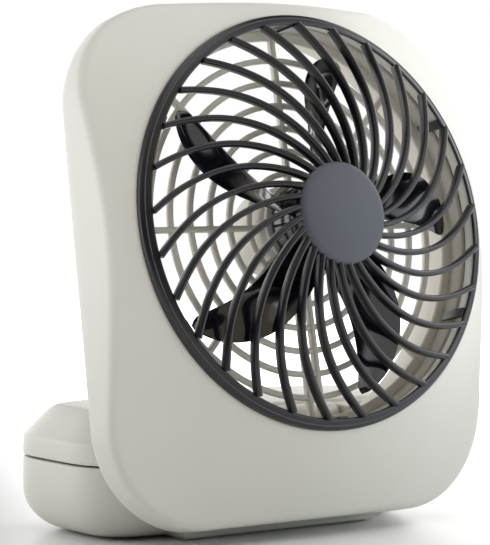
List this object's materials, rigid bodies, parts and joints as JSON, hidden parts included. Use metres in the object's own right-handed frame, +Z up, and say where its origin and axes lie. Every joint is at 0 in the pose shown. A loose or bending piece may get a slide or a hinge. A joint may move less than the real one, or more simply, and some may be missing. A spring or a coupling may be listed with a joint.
{
  "type": "folding battery desk fan",
  "caption": "Small folding desk fan: a tilting rounded-square head with a swirl grille over a swept-blade impeller, on a flat battery base.",
  "frame": {"origin": "on the surface the fan stands on, under the middle of its bounding box at rest", "axes": "+Z up, the fan blows towards -Y, +X to the right as seen from the front"},
  "size_m": [0.1524, 0.104, 0.1752],
  "materials": {
    "housing": "satin warm off-white plastic",
    "graphite": "satin dark graphite plastic",
    "impeller": "glossy near-black plastic",
    "steel": "plain steel",
    "brass": "tinned or plain brass",
    "black": "black moulded plastic",
    "rubber": "dark soft rubber",
    "cell": "plain printed sleeve",
    "red": "red insulation"
  },
  "bodies": {
    "base": {"base_shell": "housing", "hinge_rod": "steel", "hinge_washer_left": "steel", "hinge_washer_right": "steel", "battery_cover": "housing", "cover_screw_1": "steel", "cover_screw_2": "steel", "battery_left": "cell", "battery_right": "cell", "battery_spring": "steel", "contact_plate_negative": "brass", "contact_plate_positive": "brass", "switch_body": "black", "dc_jack": "black", "rubber_foot_1": "rubber", "rubber_foot_2": "rubber", "rubber_foot_3": "rubber", "rubber_foot_4": "rubber"},
    "head": {"front_housing": "housing", "rear_housing": "housing", "rear_grille": "housing", "motor_cup": "housing", "front_grille": "graphite", "hub_cap": "graphite", "motor_retainer": "housing", "housing_screw_1": "steel", "housing_screw_2": "steel", "housing_screw_3": "steel", "housing_screw_4": "steel", "motor_can": "steel", "motor_end_bell": "black", "motor_bearing": "brass", "motor_terminal_left": "brass", "motor_terminal_right": "brass", "motor_lead_black": "black", "motor_lead_red": "red"},
    "rotor": {"motor_shaft": "steel", "impeller": "impeller"},
    "slider": {"switch_slider": "graphite"}
  },
  "joints": [
    {"name": "head_tilt", "type": "hinge", "parent": "base", "child": "head", "pos_m": [0, -0.01004, 0.0362], "axis": [1, 0, 0], "range_deg": [-78.4, 11]},
    {"name": "impeller_spin", "type": "hinge", "parent": "head", "child": "rotor", "pos_m": [0, -0.03207, 0.10322], "axis": [0, -0.9794, 0.2018], "continuous": true},
    {"name": "switch_slide", "type": "slide", "parent": "base", "child": "slider", "axis": [1, 0, 0], "range_m": [0, 0.006]}
  ]
}
